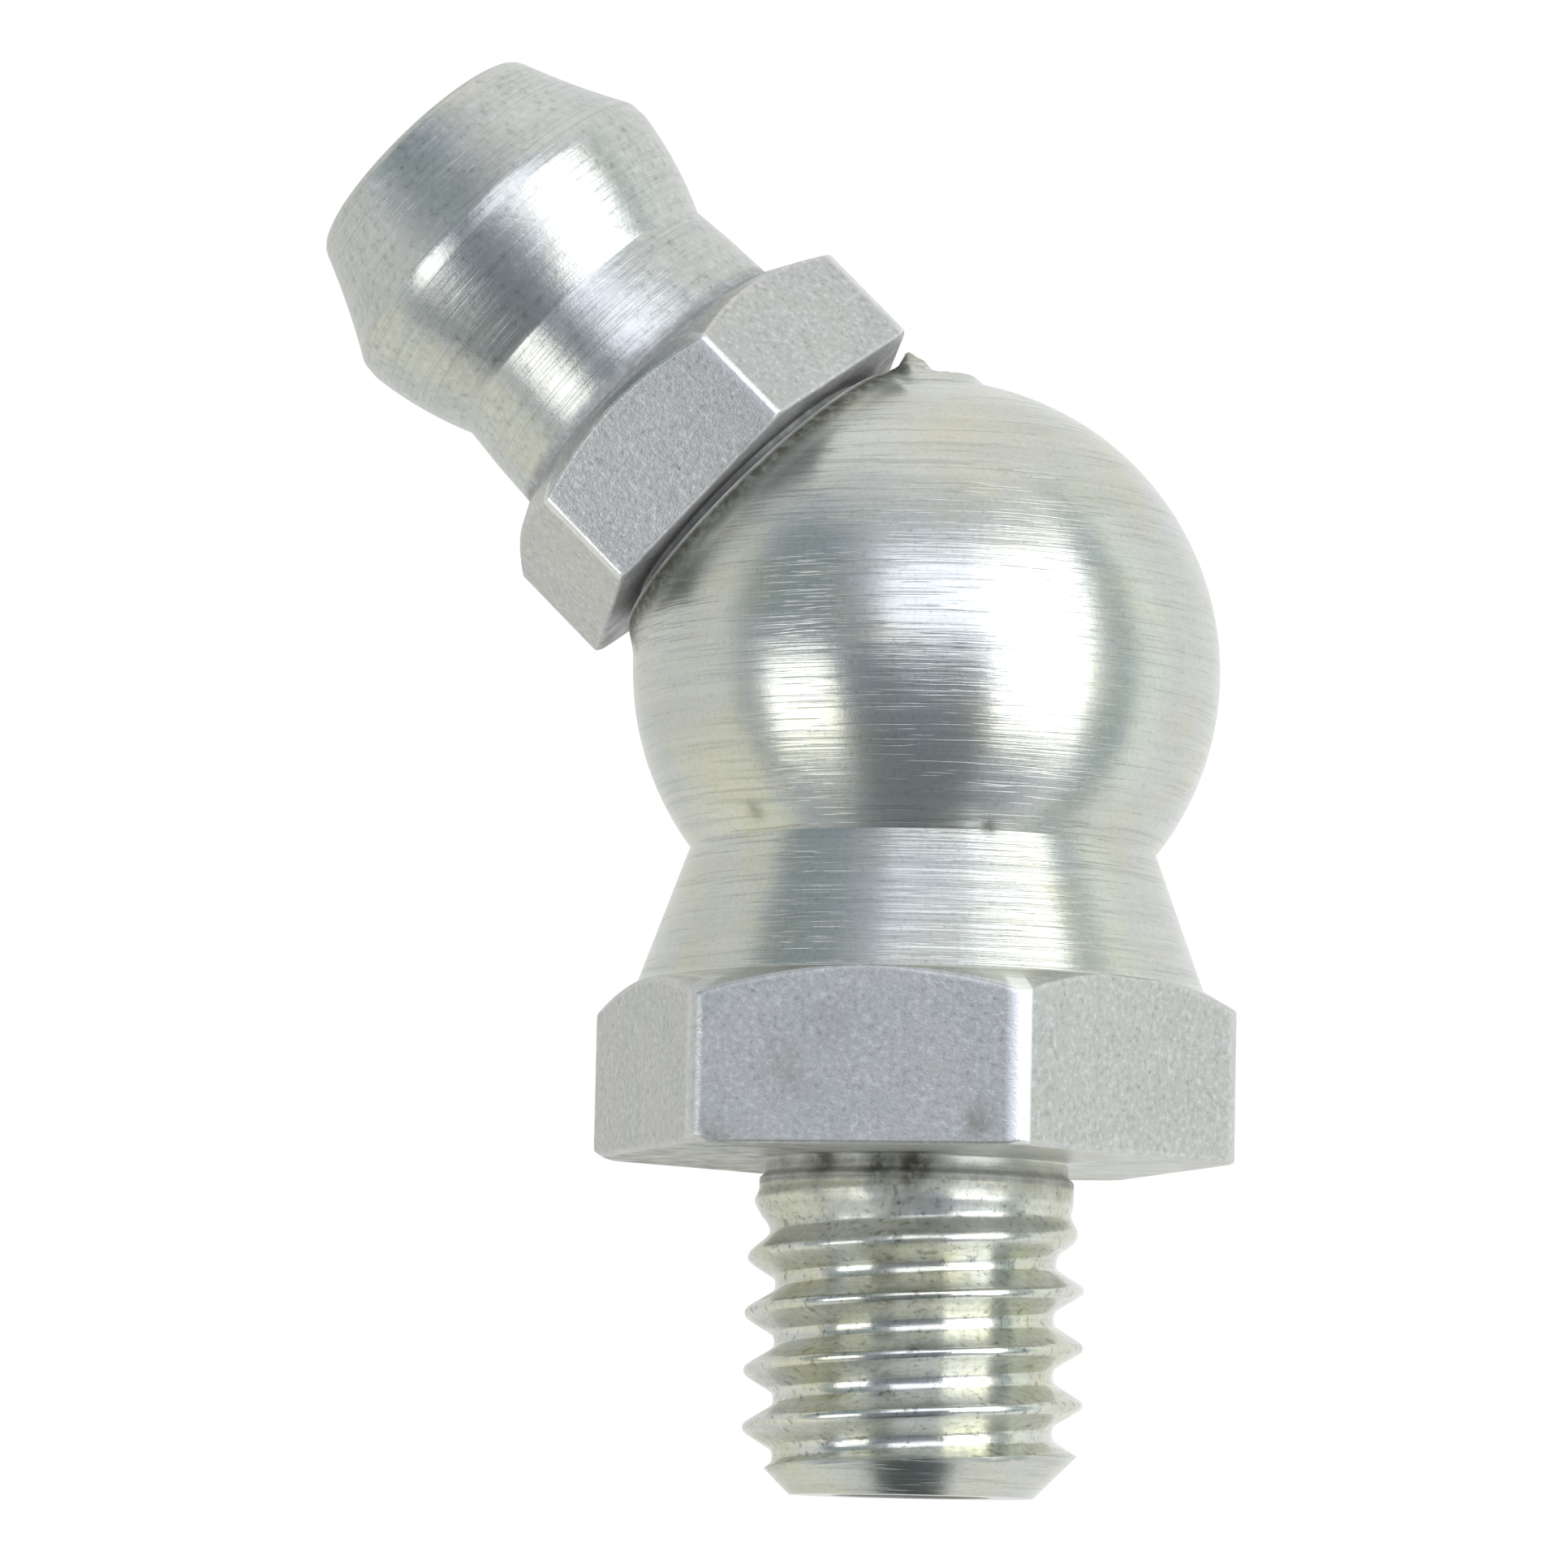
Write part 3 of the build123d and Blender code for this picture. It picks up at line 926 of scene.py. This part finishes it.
def passivationGroup():
    # the thin film over the zinc: clouds of two tints, as shares of the warm and the cool
    amounts = {"Warm Amount": 0.5, "Cool Amount": 0.5}
    tree, given, out = newGroup("passivation", {"Position": (0, 0, 0), **amounts}, ["Warm", "Cool"])
    place = given["Position"]
    warm = ramp(tree, noise(tree, place, 0.55, 3.0, 0.55), 0.38, 0.66)
    moved = stretched(tree, place, (1, 1, 1), (9, 4, 2))
    cool = ramp(tree, noise(tree, moved, 0.8, 3.0, 0.6), 0.4, 0.66)
    tree.links.new(times(tree, warm, given["Warm Amount"]), out["Warm"])
    tree.links.new(times(tree, cool, given["Cool Amount"]), out["Cool"])
    return tree


def spotsGroup():
    # scattered small spots: noise peaks, thinned out by a broader noise
    tree, given, out = newGroup(
        "spots", {"Position": (0, 0, 0), "Scale": 5.0, "Threshold": 0.78}, ["Mask"],
    )
    place, scale = given["Position"], given["Scale"]
    peaks = noise(tree, place, scale)
    where = ramp(tree, noise(tree, place, times(tree, scale, 0.16), 1.0), 0.4, 0.6)
    cutOff = maths(tree, "SUBTRACT", given["Threshold"], times(tree, where, 0.05))
    tree.links.new(ramp(tree, maths(tree, "SUBTRACT", peaks, cutOff), 0.0, 0.07), out["Mask"])
    return tree


groups = {
    tree.name: tree
    for tree in (turningMarksGroup(), platingGrainGroup(), passivationGroup(), spotsGroup())
}


def useGroup(tree, name, inputs):
    return put(tree, "Group", inputs, node_tree=groups[name]).outputs


def grey(value, red=1.0, blue=1.0):
    # a grey whose red and blue are shares of it
    return (value * red, value, value * blue, 1)


# Finishes. Tints are the metal and its warm and cool clouds, each as a grey with its red
# and blue shares, and clouds are how strong those two are. Shine is the roughness and how
# far gloss is drawn out round the axis. Rings are the turning marks: depth in micrometres,
# crowding, and how much they show as bands and as scratches painted dark as shade. Crystals
# are the plating's: depth in micrometres, fineness, glints and pits. Dirt and shade is the
# colour and the amount of the dirt and the painted shade.

finishes = {
    "turnedZinc": {
        "tints": [(0.62, 0.978, 0.945), (0.60, 1.0, 0.84), (0.58, 0.95, 0.99)],
        "clouds": (0.8, 0.4), "shine": (0.24, 0.6), "rings": (11.0, 1.0, 0.03, 0.2),
        "crystals": (0.8, 16.0, 0.12, 0.25), "spots": 0.8, "edgeShine": 0.5,
        "dirtAndShade": (0.14, 0.14, 0.10, 0.8),
    },
    "drawnZinc": {
        "tints": [(0.54, 1.0, 0.97), (0.54, 1.01, 0.93), (0.51, 0.97, 0.99)],
        "clouds": (0.4, 0.5), "shine": (0.36, 0.0), "rings": (0.0, 1.0, 0.0, 0.0),
        "crystals": (5.0, 13.0, 0.42, 0.5), "spots": 0.77, "edgeShine": 0.9,
        "dirtAndShade": (0.30, 0.28, 0.27, 0.6),
    },
    "rolledZinc": {
        "tints": [(0.70, 0.985, 0.93), (0.63, 1.01, 0.76), (0.60, 0.94, 1.0)],
        "clouds": (0.9, 0.35), "shine": (0.18, 0.8), "rings": (2.0, 1.3, 0.04, 0.1),
        "crystals": (1.6, 11.0, 0.25, 0.8), "spots": 0.67, "edgeShine": 0.4,
        "dirtAndShade": (0.25, 0.24, 0.14, 0.7),
    },
    "turnedHead": {
        "tints": [(0.58, 0.975, 0.955), (0.56, 1.0, 0.90), (0.55, 0.95, 1.0)],
        "clouds": (0.5, 0.5), "shine": (0.31, 0.5), "rings": (5.0, 1.5, 0.03, 0.2),
        "crystals": (3.0, 9.0, 0.25, 0.45), "spots": 0.75, "edgeShine": 0.3,
        "dirtAndShade": (0.20, 0.19, 0.20, 0.8),
    },
    "boreSteel": {
        "tints": [(0.40, 1.0, 0.93), (0.33, 1.05, 0.8), (0.36, 0.98, 1.0)],
        "clouds": (0.6, 0.3), "shine": (0.42, 0.0), "rings": (4.0, 1.0, 0.06, 0.2),
        "crystals": (2.0, 10.0, 0.1, 0.2), "spots": 0.74, "edgeShine": 0.3,
        "dirtAndShade": (0.20, 0.18, 0.13, 0.7),
    },
}

# what lies on the metal, in every finish: pits and spots, scratches painted dark as shade,
# glints, a painted highlight on edges, and stains with painted shadow
deposits = {
    "pit": (0.24, 0.25, 0.25, 1),
    "scratchShade": (0.17, 0.20, 0.20, 1),
    "glint": (0.88, 0.88, 0.92, 1),
    "spot": (0.18, 0.15, 0.10, 1),
    "spotAmount": 0.5,
    # the painted highlight on edges, corners and the boss's rim
    "worn": (0.96, 0.96, 0.97, 1),
    # dark stains, and the painted shadow under the small hexagon
    "stain": (0.048, 0.05, 0.032, 1),
    "soilRoughness": 0.3,
    "soiledMetallic": 0.1,
}


def zincMaterial(name, leans):
    # One plated surface: tinted metal, darker under dirt and painted shade, with a painted
    # highlight along edges, and with turning rings and crystals in its normals.
    values = finishes[name]
    material = bpy.data.materials.new(name + ("Leaning" if leans else ""))
    tree = newTree(material)
    turn = math.radians(leaning["angle"]) if leans else 0.0
    place = stretched(tree, inMillimetres(tree), (1, 1, 1), rotation=(0, turn, 0))
    rough, drawnOut = values["shine"]
    ringDepth, crowding, bands, scratches = values["rings"]
    grainDepth, fineness, glints, pits = values["crystals"]
    warmAmount, coolAmount = values["clouds"]
    *dirtAndShade, dirtAndShadeAmount = values["dirtAndShade"]
    marks = useGroup(tree, "turningMarks", {"Position": place, "Crowding": crowding})
    grain = useGroup(tree, "platingGrain", {"Position": place, "Grains": fineness})
    film = useGroup(tree, "passivation", {
        "Position": place, "Warm Amount": warmAmount, "Cool Amount": coolAmount,
    })
    spots = useGroup(tree, "spots", {"Position": place, "Scale": 4.0, "Threshold": values["spots"]})
    edge, soil, stain = [
        put(tree, "Attribute", attribute_name=mark).outputs["Fac"]
        for mark in ("edge", "soil", "stain")
    ]
    # one mark carries dirt and painted shade, the other stains and painted shadow; both come in
    # patches
    patchy = ramp(tree, noise(tree, place, 1.7, 4.0, 0.65), 0.3, 0.7, 0.5, 1.0)
    stained = times(tree, stain, ramp(tree, noise(tree, place, 5.0, 3.0, 0.6), 0.3, 0.6, 0.5, 1.0))
    soiled = maths(tree, "MAXIMUM", times(tree, soil, patchy), stained)
    colour, warm, cool = [grey(*tint) for tint in values["tints"]]
    # over the metal: dirt and painted shade, pits, painted scratch shade, glints, spots, a painted
    # edge highlight, and stains with painted shadow
    for share, over in (
        (film["Warm"], warm),
        (film["Cool"], cool),
        (times(tree, soiled, dirtAndShadeAmount), (*dirtAndShade, 1)),
        (times(tree, grain["Pits"], pits), deposits["pit"]),
        (times(tree, marks["Dashes"], scratches), deposits["scratchShade"]),
        (times(tree, grain["Glints"], glints), deposits["glint"]),
        (times(tree, spots["Mask"], deposits["spotAmount"]), deposits["spot"]),
        (times(tree, edge, values["edgeShine"]), deposits["worn"]),
        (stained, deposits["stain"]),
    ):
        colour = mixColour(tree, share, colour, over)
    bright = ramp(tree, marks["Bands"], 0.0, 1.0, 1 - bands, 1 + bands)
    shade = put(tree, "CombineXYZ", {0: bright, 1: bright, 2: bright}).outputs[0]
    colour = mixColour(tree, 1.0, colour, shade, "MULTIPLY")
    normal = None
    for height, depth in ((marks["Height"], ringDepth), (grain["Height"], grainDepth)):
        bump = {"Height": height, "Distance": depth * 1e-6, "Strength": 1.0}
        if normal:
            bump["Normal"] = normal
        normal = put(tree, "Bump", bump).outputs[0]
    roughened = times(tree, soiled, deposits["soilRoughness"])
    shader = put(tree, "BsdfPrincipled", {
        "Base Color": colour,
        "Metallic": ramp(tree, soiled, 0.0, 1.0, 1.0, deposits["soiledMetallic"]),
        "Roughness": maths(tree, "ADD", rough, roughened),
        "Specular IOR Level": 0.25, "Anisotropic": drawnOut, "Anisotropic Rotation": 0.25,
        "Normal": normal,
        "Tangent": put(tree, "Tangent", direction_type="UV_MAP", uv_map="unrolled").outputs[0],
    })
    put(tree, "OutputMaterial", {"Surface": shader.outputs[0]})
    return material


def hardSteel(name, metal, rough, marks):
    # a ground ball or a drawn wire: bright steel with faint scratches and a little haze
    material = bpy.data.materials.new(name)
    tree = newTree(material)
    place = inMillimetres(tree)
    haze = ramp(tree, noise(tree, place, 1.4, 3.0, 0.6), 0.35, 0.7)
    scratches = noise(tree, stretched(tree, place, (2, 9, 22)), 1.0, 3.0, 0.7)
    colour = mixColour(tree, times(tree, haze, 0.35), metal, grey(metal[1] * 0.8, 1.02, 0.93))
    roughness = maths(tree, "MULTIPLY_ADD", haze, 0.08, rough)
    bump = put(tree, "Bump", {"Height": scratches, "Distance": marks * 1e-6, "Strength": 1.0})
    shader = put(tree, "BsdfPrincipled", {
        "Base Color": colour, "Metallic": 1.0, "Roughness": roughness, "Normal": bump.outputs[0],
    })
    put(tree, "OutputMaterial", {"Surface": shader.outputs[0]})
    return material


def dress(piece, slot, node, body, *materials):
    for index, material in enumerate(materials):
        piece.data.materials[index] = material
    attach(piece, body)
    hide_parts(node)


bodyFinishes = [
    zincMaterial(name, False) for name in ("turnedZinc", "drawnZinc", "rolledZinc", "boreSteel")
]
headFinishes = [zincMaterial(name, True) for name in ("turnedHead", "drawnZinc", "boreSteel")]
dress(body, "plated_steel_body", "elbow_body", "nipple", *bodyFinishes)
dress(nipple, "plated_steel_head", "nipple_head", "nipple", *headFinishes)
dress(ball, "hardened_ball", "check_ball", "ball", hardSteel("groundBall", grey(0.66), 0.12, 0.3))
dress(coil, "spring_wire", "check_spring", "nipple", hardSteel("springWire", grey(0.50), 0.28, 0.8))
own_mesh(coil)
print("finishes:", [material.name for material in bpy.data.materials])


# Studio: a pale tent that is darker round the camera, two soft boxes and a pale floor. A
# patch is its middle (azimuth, elevation), its half width and height and its softness, in
# degrees seen from the part.

tent = {
    "colour": (0.96, 0.97, 0.965),
    "patches": [
        ((-126, 0), (46, 95), 30, (0.80, 0.81, 0.79)),  # the side to the left
        ((-96, -38), (40, 22), 24, (0.92, 0.92, 0.82)),
        ((0, 90), (200, 32), 18, (1.0, 1.0, 0.98)),  # overhead
        ((-20, 58), (62, 14), 14, (0.74, 0.77, 0.79)),
        ((-6, -2), (72, 58), 12, (0.48, 0.52, 0.58)),  # the opening round the camera
        ((-54, 28), (22, 22), 12, (0.31, 0.37, 0.40)),
        ((-3, -72), (60, 26), 20, (0.28, 0.32, 0.35)),
        ((0, -30), (28, 34), 16, (0.27, 0.30, 0.355)),
        ((0, -60), (28, 32), 16, (0.22, 0.25, 0.28)),
        ((-45, -36), (11, 14), 10, (0.66, 0.68, 0.64)),
        ((86, 0), (9, 56), 12, (0.52, 0.60, 0.61)),  # its edge to the right
        ((104, 8), (9, 40), 8, (1.04, 1.10, 1.04)),
        ((86, -34), (9, 24), 12, (0.40, 0.48, 0.49)),
        ((0, -90), (200, 17), 8, (0.05, 0.07, 0.075)),  # straight below
        ((8, 23), (23, 17), 10, (1.78, 1.84, 2.05)),  # a pale panel over the camera
    ],
}

lamps = {
    "keyBox": {
        "from": (50, 7), "half": (20, 34), "distance": 0.35, "strength": 2.3,
        "colour": (1, 1, 1),
    },
    "fillBox": {
        "from": (-47, -15), "half": (14, 14), "distance": 0.35, "strength": 2.0,
        "colour": (1, 0.99, 0.95),
    },
}

paleFloor = {
    "clear": 0.05,  # metres from the middle at which it starts to fade
    "faded": 0.16,
    "spokes": 96,
    "shades": ((0.93, 0.93, 0.93, 1), (0.97, 0.97, 0.97, 1)),
    "lift": 0.12,
}


def makeTent():
    world = bpy.data.worlds.new("paleTent")
    bpy.context.scene.world = world
    tree = newTree(world)
    toward = put(tree, "SeparateXYZ", {0: put(tree, "TexCoord").outputs["Generated"]}).outputs
    backward = times(tree, toward[1], -1.0)
    azimuth = maths(tree, "DEGREES", maths(tree, "ARCTAN2", toward[0], backward))
    elevation = maths(tree, "DEGREES", maths(tree, "ARCSINE", toward[2]))
    colour = (*tent["colour"], 1)
    for middle, halves, soft, shade in tent["patches"]:
        masks = []
        for angle, centre, half in zip((azimuth, elevation), middle, halves):
            away = maths(tree, "ABSOLUTE", maths(tree, "SUBTRACT", angle, centre))
            masks.append(ramp(tree, away, half + soft / 2, half - soft / 2))
        colour = mixColour(tree, times(tree, *masks), colour, (*shade, 1))
    studio = put(tree, "Background", {"Color": colour, "Strength": 1.0})
    plain = put(tree, "Background", {"Color": (1, 1, 1, 1), "Strength": 1.0})
    seen = put(tree, "LightPath").outputs["Is Camera Ray"]
    both = put(tree, "MixShader", {0: seen, 1: studio.outputs[0], 2: plain.outputs[0]})
    put(tree, "OutputWorld", {"Surface": both.outputs[0]})


def makeLamp(name, lamp):
    # a rectangle that faces the ball; its power gives the strength asked for at its face
    level, upright, outward = aimed(*lamp["from"])
    light = bpy.data.lights.new(name, "AREA")
    light.shape = "RECTANGLE"
    light.size, light.size_y = [
        2 * lamp["distance"] * math.tan(math.radians(half)) for half in lamp["half"]
    ]
    light.energy = lamp["strength"] * math.pi * light.size * light.size_y
    light.color = lamp["colour"]
    ballCentre = np.array([0, 0, leaning["centreHeight"] * metresPerMm])
    place = outward * lamp["distance"] + ballCentre
    addObject(name, light, (level, upright, outward), place).visible_camera = False


def makeFloor():
    # a disc at the stud's tip that fades out; it is clear from below, where the camera is
    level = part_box("elbow_body")[0].z
    count = paleFloor["spokes"]
    rim = [ray(2 * math.pi * j / count) * paleFloor["faded"] for j in range(count)]
    spots = [(0, 0, level)] + [(x, y, level) for x, y in rim]
    mesh = bpy.data.meshes.new("paleFloor")
    mesh.from_pydata(spots, [], [(0, 1 + j, 1 + (j + 1) % count) for j in range(count)])
    floor = addObject("paleFloor", mesh)
    material = bpy.data.materials.new("paleFloor")
    tree = newTree(material)
    spot = put(tree, "TexCoord").outputs["Object"]
    away = put(tree, "VectorMath", {0: spot}, operation="LENGTH").outputs["Value"]
    faded = ramp(tree, away, paleFloor["clear"], paleFloor["faded"] * 0.98)
    below = put(tree, "NewGeometry").outputs["Backfacing"]
    shade = mixColour(tree, noise(tree, spot, 900.0, 3.0), *paleFloor["shades"])
    matt = put(tree, "BsdfDiffuse", {"Color": shade})
    lift = put(tree, "Emission", {"Color": (1, 1, 1, 1), "Strength": paleFloor["lift"]})
    lit = put(tree, "AddShader", {0: matt.outputs[0], 1: lift.outputs[0]})
    clear = put(tree, "BsdfTransparent")
    both = put(tree, "MixShader", {
        0: maths(tree, "MAXIMUM", faded, below), 1: lit.outputs[0], 2: clear.outputs[0],
    })
    put(tree, "OutputMaterial", {"Surface": both.outputs[0]})
    mesh.materials.append(material)
    floor.visible_glossy = False
    floor.visible_shadow = False


makeTent()
for name, lamp in lamps.items():
    makeLamp(name, lamp)
makeFloor()
bpy.context.scene.view_settings.view_transform = "Standard"
print("studio ready")
